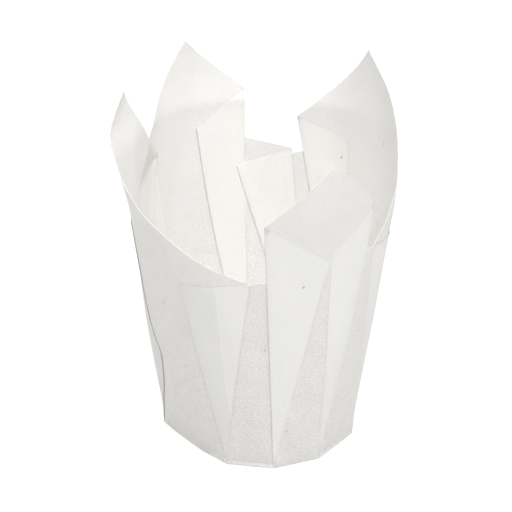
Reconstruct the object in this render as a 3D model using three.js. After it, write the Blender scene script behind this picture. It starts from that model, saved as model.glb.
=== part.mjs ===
// Tulip baking cup: one square sheet of white greaseproof paper, pressed over a round former.
// The flat middle is the base. The wall leans out and takes up the spare paper in knife pleats.
// The four corners of the square stand up as petals.
// Sizes are in millimetres and angles in degrees. +Z is up and the base stands on Z = 0.
// Directions round the cup are measured from +X towards +Y. The front petal is near -Y.
import * as THREE from 'three';

// The sheet
const SHEET_SIDE = 171;
const SHEET_TURN = -67.2; // direction of the front corner
const SHEET_SHIFT_X = 0.7; // the middle of the sheet against the middle of the base
const SHEET_SHIFT_Y = 5.6;
const PAPER = 0.06;

// The pressed shape
const BASE_RADIUS = 24.2; // mean radius where the wall starts
const WALL_LEAN = 11.6; // from the vertical
const BASE_CORNER = 0.6; // inset of the flat base inside the wall's foot
const CORNER_LIFT = 0.25; // height of the rounded foot
const LIFT_FADE = 1.5; // height over which that lift fades out
const ROUNDING_HEIGHT = 22; // height over which the many-sided foot turns round
const SOFTENING = 10; // spread of a foot corner, reached at the softening height
const SOFTENING_HEIGHT = 8;
const OVAL = -0.062; // out of round, as a share of the height
const SWAY_RIGHT = 0.016; // the wall's lean to the right, as a share of the height
const SWAY_BACK = -0.004; // and its lean to the back
const BELLY = 1.6; // outward bow of the wall at mid height
const BELLY_RIGHT = 0.3; // extra bow on the right, taken off on the left
const BELLY_BACK = 1.3; // extra bow at the back, taken off at the front
const BOW_HEIGHT = 60;
const FLARE_START = 45;
const FLARE_START_RIGHT = 41.4;
const CURL_START = 74;
const CURL_START_RIGHT = 58.6;
const BOW_RIGHT = -1.79;
const CURL_START_LEFT = 84;

// How layers lie on each other
const LAYER_STEP_FOOT = 0.24;
const LAYER_STEP_RIM = 0.42;
const STEP_HEIGHT = 90; // height at which the rim's step is reached
const FOLD_IN_HEIGHT = 3.2; // height at which a pleat is folded flat
const EASE_START = 6; // how far past a fold the layer under it stays in
const EASE = 9; // distance over which it then comes back to the wall
const SPARE = 0.1; // extra room under a fold

// The dog-eared fold on the left
const EAR_PLEAT = 6;
const EAR_HEIGHT = 28;
const EAR_REACH = 13;

// Pleats in order round the cup: direction of the foot corner it starts from and its reach as a share
// of the base radius, lean of its outer fold, and the side (1 for the earlier panel, -1 for the later)
// that lies outside. A tuck draws the inner fold back by some degrees, clear of the next pleat.
const PLEATS = [
  { at: -51, reach: 1.0496, lean: 7.7, outer: 1, tuck: 0.9 },
  { at: -11, reach: 1.0661, lean: 8.6, outer: 1 },
  { at: 40.5, reach: 1.0289, lean: -5.2, outer: -1 },
  { at: 61.5, reach: 1.0744, lean: -5.1, outer: -1 },
  { at: 95, reach: 1.0702, lean: 2.6, outer: -1 },
  { at: 121.5, reach: 1.0826, lean: 30, outer: 1 },
  { at: 174.5, reach: 1.0620, lean: 13.3, outer: 1 },
  { at: 250, reach: 0.9959, lean: 9.1, outer: -1 },
  { at: 279, reach: 1.0579, lean: 7, outer: -1, tuck: 0.9 },
];

// Corners of the foot that have no pleat
const SOFT_CORNERS = [
  { at: 148, reach: 1.0579 },
  { at: 188, reach: 0.9360 },
  { at: 225, reach: 0.8700 },
  { at: 68, reach: 1.0702 },
  { at: 14, reach: 1.0579 },
];

// Petals in order from the front: how strongly the wall flares out and the tip curls in, both for
// the square of the height over the base radius, the heights they start at, extra bow in mm, and
// the angle in degrees from the petal's middle to where they end
const PETALS = [
  { flare: 0.02, flareFrom: FLARE_START, curl: -0.145, curlFrom: CURL_START, bow: 0, half: 50 },
  {
    flare: 0.1115,
    flareFrom: FLARE_START_RIGHT,
    curl: -0.293,
    curlFrom: CURL_START_RIGHT,
    bow: BOW_RIGHT,
    half: 64.3,
  },
  { flare: 0.022, flareFrom: FLARE_START, curl: -0.218, curlFrom: CURL_START, bow: 0, half: 50 },
  { flare: 0.08, flareFrom: FLARE_START, curl: -1.45, curlFrom: CURL_START_LEFT, bow: 0, half: 50 },
];

// Mesh steps
const LOW_ROWS = [0, 0.281, 0.5, 0.75, 1.125, 1.875]; // against the fold-in height
const HIGH_ROWS = 9;
const ROW_CROWDING = 1.3; // closer rows towards the cut edge above 1
const COLUMN_ANGLE = 9;
const FOLD_STEPS = 3;
const FLAP_ANGLE = 9;

const RAD = Math.PI / 180;
const COUNT = PLEATS.length;
const SLOPE = Math.tan(WALL_LEAN * RAD);
const APEX = BASE_RADIUS / Math.sin(WALL_LEAN * RAD);

const lerp = (a, b, f) => a + (b - a) * f;
const clamp01 = (x) => Math.min(1, Math.max(0, x));

function smooth(x) {
  const t = clamp01(x);
  return t * t * (3 - 2 * t);
}

// 1 in the middle and 0 from 1 outwards on both sides
function bell(x) {
  return Math.abs(x) < 1 ? Math.cos((x * Math.PI) / 2) ** 2 : 0;
}

function turnTo(angle, near) {
  return angle - 2 * Math.PI * Math.round((angle - near) / (2 * Math.PI) - 1e-9);
}

function ray(angle) {
  return new THREE.Vector2(Math.cos(angle), Math.sin(angle));
}

// Foot corners of the base
const corners = PLEATS.map((p) => ray(p.at * RAD).multiplyScalar(p.reach * BASE_RADIUS));

// The foot's outline, with and without pleats at its corners
const outline = [...PLEATS, ...SOFT_CORNERS].sort((a, b) => a.at - b.at);

// Radius of the many-sided foot in a direction
function footRadius(az) {
  for (let i = 0; i < outline.length; i += 1) {
    const a = outline[i];
    const b = outline[(i + 1) % outline.length];
    const turn = turnTo(az - a.at * RAD, Math.PI);
    const span = turnTo((b.at - a.at) * RAD, Math.PI);
    if (turn <= span + 1e-9) {
      const across = Math.sin(span - turn) / a.reach + Math.sin(turn) / b.reach;
      return (BASE_RADIUS * Math.sin(span)) / across;
    }
  }
  return BASE_RADIUS;
}

// The foot's corners soften as the wall rises
function softFoot(az, z) {
  const spread = SOFTENING * RAD * clamp01(z / SOFTENING_HEIGHT);
  let sum = 0;
  for (let k = -2; k <= 2; k += 1) sum += footRadius(az + (spread * k) / 2);
  return sum / 5;
}

// Wall radius in a direction and at a height, before the layers are set apart
function wallRadius(az, z) {
  const round = 1 - Math.exp(-z / ROUNDING_HEIGHT);
  const rise = clamp01(z / (BOW_HEIGHT * 1.33)) * 1.33;
  let r = lerp(softFoot(az, z), BASE_RADIUS, round) + z * SLOPE;
  r += z * (OVAL * Math.cos(2 * az) + SWAY_RIGHT * Math.cos(az) + SWAY_BACK * Math.sin(az));
  r += 4 * rise * (1 - rise) * (BELLY + BELLY_RIGHT * Math.cos(az) + BELLY_BACK * Math.sin(az));
  PETALS.forEach((petal, k) => {
    const away = turnTo(az - (SHEET_TURN + 90 * k) * RAD, 0) / RAD;
    let lift = (petal.flare * Math.max(z - petal.flareFrom, 0) ** 2) / BASE_RADIUS;
    lift += (petal.curl * Math.max(z - petal.curlFrom, 0) ** 2) / BASE_RADIUS;
    lift += 4 * rise * (1 - rise) * petal.bow;
    r += lift * bell(away / petal.half);
  });
  return r;
}

// One flat panel of the sheet between two foot corners, and how it lies on the cone of the wall
function makePanel(i) {
  const next = (i + 1) % COUNT;
  const a = corners[i];
  const b = corners[next];
  const along = b.clone().sub(a).normalize();
  const out = new THREE.Vector2(along.y, -along.x);
  const dist = a.dot(out);
  const facing = Math.atan2(out.y, out.x);
  const stretch = (corner, at) => {
    const flat = Math.atan2(corner.dot(along), APEX) / Math.sin(WALL_LEAN * RAD);
    return turnTo(at * RAD - facing, 0) / flat;
  };
  return {
    along,
    out,
    dist,
    facing,
    before: stretch(a, PLEATS[i].at),
    after: stretch(b, PLEATS[next].at),
    apex: out.clone().multiplyScalar(dist - APEX),
  };
}

const panels = PLEATS.map((_, i) => makePanel(i));

// Direction and height on the wall of a point of the flat sheet, as part of one panel
function onWall(panel, point) {
  const u = point.dot(panel.along);
  const s = point.dot(panel.out) - panel.dist;
  const swing = Math.atan2(u, APEX + s);
  const slant = Math.hypot(u, APEX + s) - APEX;
  const stretch = u < 0 ? panel.before : panel.after;
  return {
    az: panel.facing + (stretch * swing) / Math.sin(WALL_LEAN * RAD),
    z: Math.max(slant, 0) * Math.cos(WALL_LEAN * RAD),
  };
}

// The square's outline
const sheetMiddle = new THREE.Vector2(SHEET_SHIFT_X, SHEET_SHIFT_Y);

function sheetCorner(k) {
  return ray((SHEET_TURN + 90 * k) * RAD)
    .multiplyScalar(SHEET_SIDE / Math.SQRT2)
    .add(sheetMiddle);
}

// Where a fold that starts at a foot corner leaves the sheet, and on which side of the square
function leaveSheet(from, direction) {
  let best = { t: Infinity, side: 0 };
  for (let side = 0; side < 4; side += 1) {
    const normal = ray((SHEET_TURN + 45 + 90 * side) * RAD);
    const towards = direction.dot(normal);
    if (towards > 1e-9) {
      const t = (SHEET_SIDE / 2 + normal.dot(sheetMiddle) - from.dot(normal)) / towards;
      if (t < best.t) best = { t, side };
    }
  }
  return { point: from.clone().addScaledVector(direction, best.t), side: best.side };
}

// Both folds of a pleat on the flat sheet. The wedge between them is what lets the two panels
// meet on the cone.
function makePleat(i) {
  const spec = PLEATS[i];
  const earlier = (i + COUNT - 1) % COUNT;
  const outerPanel = spec.outer > 0 ? earlier : i;
  const innerPanel = spec.outer > 0 ? i : earlier;
  const toOuter = panels[outerPanel].apex.clone().sub(corners[i]);
  const toInner = panels[innerPanel].apex.clone().sub(corners[i]);
  const wedge = Math.abs(Math.atan2(toOuter.cross(toInner), toOuter.dot(toInner))) / 2;
  const outerTurn = panels[outerPanel].facing + spec.outer * spec.lean * RAD;
  const innerTurn = outerTurn + spec.outer * (wedge + (spec.tuck ?? 0) * RAD);
  const outerEnd = leaveSheet(corners[i], ray(outerTurn));
  const innerEnd = leaveSheet(corners[i], ray(innerTurn));
  return { i, outerPanel, innerPanel, side: spec.outer, outerEnd, innerEnd };
}

const pleats = PLEATS.map((_, i) => makePleat(i));

// Sideways reach of the dog-eared fold, in mm
function earShift(z) {
  const up = smooth(z / EAR_HEIGHT);
  const down = 1 - clamp01((z - EAR_HEIGHT) / (1.3 * EAR_HEIGHT));
  return EAR_REACH * (z < EAR_HEIGHT ? up : down * down);
}

// A fold as direction against height, in even steps of its length
function traceFold(pleat, outer) {
  const panel = panels[outer ? pleat.outerPanel : pleat.innerPanel];
  const end = outer ? pleat.outerEnd : pleat.innerEnd;
  const trace = [];
  for (let k = 0; k <= 24; k += 1) {
    const place = onWall(panel, corners[pleat.i].clone().lerp(end.point, k / 24));
    if (outer && pleat.i === EAR_PLEAT) place.az += earShift(place.z) / wallRadius(place.az, place.z);
    trace.push(place);
  }
  return trace;
}

function readTrace(trace, z) {
  let k = 1;
  while (k < trace.length - 1 && trace[k].z < z) k += 1;
  const a = trace[k - 1];
  const b = trace[k];
  return lerp(a.az, b.az, Math.max(0, (z - a.z) / (b.z - a.z)));
}

pleats.forEach((pleat) => {
  pleat.outerTrace = traceFold(pleat, true);
  pleat.innerTrace = traceFold(pleat, false);
});

const layerStep = (z) => lerp(LAYER_STEP_FOOT, LAYER_STEP_RIM, clamp01(z / STEP_HEIGHT));
const foldTurn = (z) => Math.PI * smooth(z / FOLD_IN_HEIGHT);

function flapWidth(pleat, z) {
  const a = readTrace(pleat.outerTrace, z);
  const b = readTrace(pleat.innerTrace, z);
  return Math.abs(turnTo(a - b, 0)) * wallRadius(a, z);
}

// How far a pleat's inner panel lies inside its outer panel
function pleatDepth(pleat, z) {
  const turn = foldTurn(z);
  const shut = 1 - Math.cos(turn);
  return (layerStep(z) + SPARE / 2) * shut + flapWidth(pleat, z) * Math.sin(turn);
}

// How far inside the wall a panel lies at a direction and height
function panelDepth(index, az, z) {
  let depth = 0;
  pleats.forEach((pleat) => {
    if (pleat.innerPanel !== index) return;
    const fold = readTrace(pleat.outerTrace, z);
    const past = pleat.side * turnTo(az - fold, 0) * wallRadius(az, z);
    const under = past > 0 ? turnTo(fold, az) : az;
    const covered = panelDepth(pleat.outerPanel, under, z) + pleatDepth(pleat, z);
    depth = Math.max(depth, covered * (1 - smooth((past - EASE_START) / EASE)));
  });
  return depth;
}

// Gap that a half-folded pleat needs between its two panels, shared between them
function openHalf(pleat, z) {
  const turn = foldTurn(z);
  const width = flapWidth(pleat, z);
  return (layerStep(z) * Math.sin(turn) + width * (1 + Math.cos(turn))) / 2;
}

// The two ends and the corner, if there is one, of a panel's rim on the flat sheet
function panelRim(i) {
  const next = (i + 1) % COUNT;
  const start = pleats[i].innerPanel === i ? pleats[i].innerEnd : pleats[i].outerEnd;
  const end = pleats[next].innerPanel === i ? pleats[next].innerEnd : pleats[next].outerEnd;
  const rim = [start.point];
  if (start.side !== end.side) rim.push(sheetCorner(end.side));
  rim.push(end.point);
  return rim;
}

// Heights of the rows up one column, as distances from the foot
function rowDistances(length) {
  const rows = LOW_ROWS.map((share) => share * FOLD_IN_HEIGHT);
  const low = rows[rows.length - 1];
  for (let k = 1; k <= HIGH_ROWS; k += 1) {
    rows.push(lerp(low, length, 1 - (1 - k / HIGH_ROWS) ** ROW_CROWDING));
  }
  return rows;
}

// One panel as columns of wall places, from its earlier pleat to its later one
function panelColumns(i) {
  const panel = panels[i];
  const next = (i + 1) % COUNT;
  const rim = panelRim(i);
  const lengths = rim.slice(1).map((p, k) => p.distanceTo(rim[k]));
  const whole = lengths.reduce((a, b) => a + b, 0);
  const from = onWall(panel, rim[0]).az;
  const topSpan = Math.abs(onWall(panel, rim[rim.length - 1]).az - from) / RAD;
  const footSpan = turnTo((PLEATS[next].at - PLEATS[i].at) * RAD, Math.PI) / RAD;
  const earSpan = next === EAR_PLEAT ? EAR_REACH / (BASE_RADIUS * RAD) : 0;
  const span = Math.max(topSpan, footSpan) + earSpan;
  const columns = [];
  let done = 0;
  lengths.forEach((length, part) => {
    const steps = Math.max(2, Math.round((span * length) / whole / COLUMN_ANGLE));
    for (let k = part ? 1 : 0; k <= steps; k += 1) {
      const f = (done + (length * k) / steps) / whole;
      const foot = corners[i].clone().lerp(corners[next], f);
      const top = rim[part].clone().lerp(rim[part + 1], k / steps);
      columns.push({ f, foot, top });
    }
    done += length;
  });
  return columns.map(({ f, foot, top }) => {
    const height = top.distanceTo(foot);
    return rowDistances(height).map((d) => {
      const place = onWall(panel, foot.clone().lerp(top, d / height));
      const r = wallRadius(place.az, place.z);
      const open = lerp(openHalf(pleats[i], place.z), -openHalf(pleats[next], place.z), f);
      place.az += open / r;
      if (next === EAR_PLEAT) place.az += (earShift(place.z) / r) * smooth((f - 0.35) / 0.65);
      place.depth = panelDepth(i, place.az, place.z);
      return place;
    });
  });
}

// Outline of a pleat seen from above, from its outer panel to its inner one: a bend in, the flap,
// and a bend back. x runs along the wall and y inward.
function pleatOutline(step, turn, width, flapSteps) {
  const radius = step / 2;
  const points = [];
  let x = 0;
  let y = 0;
  for (let k = 1; k <= FOLD_STEPS; k += 1) {
    const t = (turn * k) / FOLD_STEPS;
    points.push({ x: radius * Math.sin(t), y: radius * (1 - Math.cos(t)) });
  }
  ({ x, y } = points[points.length - 1]);
  for (let k = 1; k <= flapSteps; k += 1) {
    const d = (width * k) / flapSteps;
    points.push({ x: x + d * Math.cos(turn), y: y + d * Math.sin(turn) });
  }
  ({ x, y } = points[points.length - 1]);
  for (let k = 1; k < FOLD_STEPS; k += 1) {
    const t = (turn * k) / FOLD_STEPS;
    const back = turn - t;
    points.push({
      x: x + radius * (Math.sin(turn) - Math.sin(back)),
      y: y + radius * (Math.cos(back) - Math.cos(turn)),
    });
  }
  const end = {
    x: x + radius * Math.sin(turn),
    y: y + radius * (1 - Math.cos(turn)),
  };
  return points.map((p) => ({ x: p.x, share: end.y > 1e-6 ? p.y / end.y : 0, end: end.x }));
}

// The columns between two panels that make up a pleat's folds and flap
function pleatColumns(pleat, before, after) {
  const rows = before.length;
  const top = rows - 1;
  const topTurn = Math.abs(turnTo(before[top].az - after[top].az, 0)) / RAD;
  const flapSteps = Math.max(2, Math.round(topTurn / FLAP_ANGLE));
  const outer = pleat.side > 0 ? before : after;
  const inner = pleat.side > 0 ? after : before;
  const grid = [];
  for (let row = 0; row < rows; row += 1) {
    const a = outer[row];
    const b = inner[row];
    const z = (a.z + b.z) / 2;
    const r = wallRadius(a.az, z);
    const turn = foldTurn(z);
    const gap = pleat.side * turnTo(b.az - a.az, 0) * r;
    const bend = layerStep(z) * Math.sin(turn);
    const width = turn > 0.75 * Math.PI ? (gap - bend) / Math.cos(turn) : flapWidth(pleat, z);
    const shape = pleatOutline(layerStep(z), turn, Math.max(width, 0), flapSteps);
    const fix = gap - shape[0].end;
    const count = shape.length + 1;
    grid.push(shape.map((p, k) => {
      const f = (k + 1) / count;
      const along = p.x + fix * f;
      const zf = lerp(a.z, b.z, flapShare(k, flapSteps));
      const az = a.az + (pleat.side * along) / r;
      return { az, z: zf, depth: flapDepth(pleat, az, zf, a, b, p.share) };
    }));
  }
  const columns = grid[0].map((_, k) => grid.map((row) => row[k]));
  return pleat.side > 0 ? columns : columns.reverse();
}

// How much of the way across the flap a column is
function flapShare(k, flapSteps) {
  return clamp01((k - FOLD_STEPS + 1) / flapSteps);
}

// The flap lies halfway between its two panels
function flapDepth(pleat, az, z, a, b, share) {
  const outside = panelDepth(pleat.outerPanel, az, z);
  const inside = outside + pleatDepth(pleat, z);
  const nearFold = lerp(a.depth, b.depth, share);
  return z < FOLD_IN_HEIGHT * 1.2 ? nearFold : lerp(outside, inside, share);
}

// All columns round the cup. Columns with the same foot share their vertices in the base.
function allColumns() {
  const parts = panels.map((_, i) => panelColumns(i));
  const columns = [];
  parts.forEach((part, i) => {
    const next = (i + 1) % COUNT;
    part.forEach((column, k) => {
      const last = k === part.length - 1;
      const first = k === 0;
      columns.push({ column, foot: first ? `corner${i}` : last ? `corner${next}` : `panel${i}-${k}` });
    });
    const between = pleatColumns(pleats[next], part[part.length - 1], parts[next][0]);
    between.forEach((column) => columns.push({ column, foot: `corner${next}` }));
  });
  return columns;
}

// A mid-surface point in space
function place3(az, z, depth) {
  const lift = CORNER_LIFT * Math.exp(-z / LIFT_FADE);
  const r = wallRadius(az, z) - depth;
  return new THREE.Vector3(r * Math.cos(az), r * Math.sin(az), PAPER / 2 + z + lift);
}

// The rounded foot and the flat base, ring by ring inward
const BASE_RINGS = [
  { inset: 0.32, lift: 0.25 },
  { inset: 1, lift: 0 },
  { inset: 1.6, lift: 0 },
];

// Middle surface of the folded sheet, with one vertex list and triangles facing out and down
function makeMiddle() {
  const columns = allColumns();
  const points = [];
  const triangles = [];
  const add = (p) => points.push(p) - 1;
  const footIds = new Map();
  const ringIds = BASE_RINGS.map(() => new Map());
  const ids = columns.map(({ column, foot }) => {
    if (!footIds.has(foot)) {
      const base = column[0];
      const az = foot.startsWith('corner') ? PLEATS[Number(foot.slice(6))].at * RAD : base.az;
      const start = place3(az, 0, 0);
      footIds.set(foot, add(start));
      BASE_RINGS.forEach((ring, k) => {
        const r = footRadius(az) - ring.inset * BASE_CORNER;
        const z = PAPER / 2 + ring.lift * CORNER_LIFT;
        ringIds[k].set(foot, add(new THREE.Vector3(r * Math.cos(az), r * Math.sin(az), z)));
      });
    }
    const up = [ringIds[2], ringIds[1], ringIds[0], footIds].map((map) => map.get(foot));
    column.slice(1).forEach((p) => up.push(add(place3(p.az, p.z, p.depth))));
    return up;
  });
  const middle = add(new THREE.Vector3(0, 0, PAPER / 2));
  ids.forEach((here, c) => {
    const there = ids[(c + 1) % ids.length];
    for (let k = 0; k < here.length - 1; k += 1) {
      const quad = [here[k], there[k], there[k + 1], here[k + 1]];
      addQuad(points, triangles, quad);
    }
    if (here[0] !== there[0]) triangles.push([there[0], here[0], middle]);
  });
  const rim = ids.map((column) => column[column.length - 1]);
  return { points, triangles, rim };
}

// Two triangles over the shorter diagonal; a collapsed side leaves one, and two leave none
function addQuad(points, triangles, [a, b, c, d]) {
  if (a === b) {
    if (c !== d) triangles.push([a, c, d]);
    return;
  }
  if (points[a].distanceTo(points[c]) <= points[b].distanceTo(points[d])) {
    triangles.push([a, b, c], [a, c, d]);
  } else {
    triangles.push([a, b, d], [b, c, d]);
  }
}

// Vertex directions square to the sheet, weighted by the angle of each face
function sheetNormals(points, triangles) {
  const normals = points.map(() => new THREE.Vector3());
  triangles.forEach((tri) => {
    const [a, b, c] = tri.map((id) => points[id]);
    const face = b.clone().sub(a).cross(c.clone().sub(a)).normalize();
    tri.forEach((id, k) => {
      const to = points[tri[(k + 1) % 3]].clone().sub(points[id]).normalize();
      const back = points[tri[(k + 2) % 3]].clone().sub(points[id]).normalize();
      normals[id].addScaledVector(face, Math.acos(Math.max(-1, Math.min(1, to.dot(back)))));
    });
  });
  return normals.map((n) => n.normalize());
}

// The sheet with its thickness: an outer skin, an inner skin and the cut edge
function makeSheet() {
  const { points, triangles, rim } = makeMiddle();
  const normals = sheetNormals(points, triangles);
  const count = points.length;
  const positions = [];
  [1, -1].forEach((side) => {
    points.forEach((p, k) => {
      const q = p.clone().addScaledVector(normals[k], (side * PAPER) / 2);
      positions.push(q.x, q.y, Math.max(q.z, 0));
    });
  });
  const index = [];
  triangles.forEach(([a, b, c]) => {
    index.push(a, b, c, c + count, b + count, a + count);
  });
  rim.forEach((a, k) => {
    const b = rim[(k + 1) % rim.length];
    index.push(a, b, b + count, a, b + count, a + count);
  });
  const geometry = new THREE.BufferGeometry();
  geometry.setAttribute('position', new THREE.Float32BufferAttribute(positions, 3));
  geometry.setIndex(index);
  geometry.computeVertexNormals();
  return geometry;
}

const greaseproof = new THREE.MeshStandardMaterial({ color: 0xecebe6, roughness: 0.8, metalness: 0 });

const sheet = new THREE.Mesh(makeSheet(), greaseproof);
sheet.name = 'folded_sheet';

const cup = new THREE.Group();
cup.name = 'tulip_baking_cup';
cup.add(sheet);

export default cup;
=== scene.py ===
"""Tulip baking cup: one square of white greaseproof paper, pressed and pleated over a round former.

The paper is worked out on the cone of its wall in millimetres and degrees, then put into the mesh
in metres. Directions round the cup run from +X towards +Y, and the front petal is near -Y.
"""
import logging
import math
from dataclasses import dataclass, field
from enum import Enum
from functools import cached_property

import bpy
import numpy as np
from mathutils import Matrix


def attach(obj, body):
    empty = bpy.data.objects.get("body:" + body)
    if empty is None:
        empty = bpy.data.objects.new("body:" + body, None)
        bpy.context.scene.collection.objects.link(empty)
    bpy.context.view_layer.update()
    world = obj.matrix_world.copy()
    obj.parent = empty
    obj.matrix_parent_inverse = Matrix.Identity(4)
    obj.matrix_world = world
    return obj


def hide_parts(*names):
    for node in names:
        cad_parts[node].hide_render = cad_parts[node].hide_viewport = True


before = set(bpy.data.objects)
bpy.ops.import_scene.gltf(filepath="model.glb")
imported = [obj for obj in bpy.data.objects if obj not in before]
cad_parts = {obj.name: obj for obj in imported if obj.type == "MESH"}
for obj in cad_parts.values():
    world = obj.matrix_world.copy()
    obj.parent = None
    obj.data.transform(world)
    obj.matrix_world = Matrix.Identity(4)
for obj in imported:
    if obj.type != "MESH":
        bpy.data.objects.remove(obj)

log = logging.getLogger("tulip_cup")
Array = np.ndarray
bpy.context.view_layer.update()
MM = 0.001
RAD = math.pi / 180
SHEET_TURN = -67.2  # direction of the square's front corner, in degrees


def clamp01(x: Array) -> Array:
    """Values held between 0 and 1."""
    return np.clip(x, 0.0, 1.0)


def smooth(x: Array) -> Array:
    """An S-shaped step from 0 to 1: three t squared less two t cubed."""
    t = clamp01(x)
    return t * t * (3 - 2 * t)


def bell(x: Array) -> Array:
    """1 in the middle and 0 from 1 outwards: the squared cosine of a quarter turn times x."""
    return np.where(np.abs(x) < 1, np.cos(x * np.pi / 2) ** 2, 0)


def lerp(a: Array, b: Array, f: Array) -> Array:
    """The value a share f of the way from a to b."""
    return a + (b - a) * f


def turn_to(angle: Array, near: Array) -> Array:
    """The same direction, moved by whole turns to lie within half a turn of another."""
    return angle - 2 * np.pi * np.floor((angle - near) / (2 * np.pi) - 1e-9 + 0.5)


def ray(angle: float) -> Array:
    """Unit vector in a direction on the flat sheet."""
    return np.array([math.cos(angle), math.sin(angle)])


# Finishes and shader maths


class Signal:
    """A number that varies over a surface. Arithmetic on it adds Math nodes."""

    def __init__(self, graph: "Graph", socket: bpy.types.NodeSocket) -> None:
        """Wraps one output socket of a graph."""
        self.graph = graph
        self.socket = socket

    def _math(self, operation: str, a: "Signal | float", b: "Signal | float") -> "Signal":
        """One Math node.

        Args:
            operation: the node's operation.
            a: first value or signal.
            b: second value or signal.

        Returns:
            The node's result.
        """
        node = self.graph.node("ShaderNodeMath", {"operation": operation}, {0: a, 1: b})
        return self.graph.out(node, 0)

    def __add__(self, other: "Signal | float") -> "Signal":
        """Sum."""
        return self._math("ADD", self, other)

    __radd__ = __add__

    def __sub__(self, other: "Signal | float") -> "Signal":
        """Difference."""
        return self._math("SUBTRACT", self, other)

    def __rsub__(self, other: "Signal | float") -> "Signal":
        """Difference with this signal taken away."""
        return self._math("SUBTRACT", other, self)

    def __mul__(self, other: "Signal | float") -> "Signal":
        """Product."""
        return self._math("MULTIPLY", self, other)

    __rmul__ = __mul__

    def __abs__(self) -> "Signal":
        """Size without sign."""
        return self._math("ABSOLUTE", self, 0.0)

    def above(self, limit: float) -> "Signal":
        """1 where the signal is over a limit, and 0 elsewhere."""
        return self._math("GREATER_THAN", self, limit)

    def step(self, low: float, high: float) -> "Signal":
        """S-shaped step of the signal.

        Args:
            low: value at which the result is 0.
            high: value at which the result is 1.

        Returns:
            A signal between 0 and 1.
        """
        node = self.graph.node(
            "ShaderNodeMapRange",
            {"interpolation_type": "SMOOTHSTEP"},
            {"Value": self, "From Min": low, "From Max": high},
        )
        return self.graph.out(node, "Result")


class Graph:
    """The nodes of one material."""

    def __init__(self, name: str) -> None:
        """Starts an empty material."""
        self.material = bpy.data.materials.new(name)
        self.material.use_nodes = True
        self.tree = self.material.node_tree
        self.tree.nodes.clear()

    def node(self, kind: str, settings: dict[str, object], values: dict) -> bpy.types.Node:
        """Adds one node.

        Args:
            kind: the node's type.
            settings: its own settings, set before its sockets.
            values: value, signal or socket for each input, by name, identifier or number.

        Returns:
            The node.
        """
        node = self.tree.nodes.new(kind)
        for key, value in settings.items():
            setattr(node, key, value)
        for key, value in values.items():
            socket = self._find(node.inputs, key)
            if isinstance(value, Signal):
                self.tree.links.new(value.socket, socket)
            elif isinstance(value, bpy.types.NodeSocket):
                self.tree.links.new(value, socket)
            else:
                socket.default_value = value
        return node

    @staticmethod
    def _find(sockets: bpy.types.bpy_prop_collection, key: str | int) -> bpy.types.NodeSocket:
        """A node's socket by number, identifier or name."""
        if isinstance(key, int):
            return sockets[key]
        return next((s for s in sockets if s.identifier == key), None) or sockets[key]

    def out(self, node: bpy.types.Node, key: str | int) -> Signal:
        """An output of a node as a signal."""
        return Signal(self, self._find(node.outputs, key))

    def attribute(self, name: str, output: str = "Fac") -> Signal:
        """A named attribute of the mesh as a signal."""
        node = self.node("ShaderNodeAttribute", {"attribute_name": name}, {})
        return self.out(node, output)

    def noise(self, at: Signal, scale: float, detail: float = 2.0, rough: float = 0.5) -> Signal:
        """Cloudy noise.

        Args:
            at: place on the sheet.
            scale: cells in a metre.
            detail: number of finer octaves.
            rough: weight of the finer octaves.

        Returns:
            Noise about 0, from about -0.5 to 0.5.
        """
        values = {"Vector": at, "Scale": scale, "Detail": detail, "Roughness": rough}
        node = self.node("ShaderNodeTexNoise", {"noise_dimensions": "2D"}, values)
        return self.out(node, 0) - 0.5

    def mix(self, factor: Signal, a: object, b: object) -> bpy.types.NodeSocket:
        """A colour between two colours.

        Args:
            factor: share of the second colour.
            a: first colour, as a tuple or socket.
            b: second colour, as a tuple or socket.

        Returns:
            The mixed colour's socket.
        """
        values = {"Factor_Float": factor, "A_Color": a, "B_Color": b}
        node = self.node("ShaderNodeMix", {"data_type": "RGBA"}, values)
        return self._find(node.outputs, "Result_Color")

    def scaled(self, colour: bpy.types.NodeSocket, factor: Signal) -> bpy.types.NodeSocket:
        """A colour made lighter or darker by a factor."""
        settings = {"operation": "SCALE"}
        node = self.node("ShaderNodeVectorMath", settings, {0: colour, "Scale": factor})
        return node.outputs[0]

    def finish(self, shader: bpy.types.NodeSocket) -> bpy.types.Material:
        """Joins a shader to the material's output."""
        self.node("ShaderNodeOutputMaterial", {}, {"Surface": shader})
        return self.material


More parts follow.
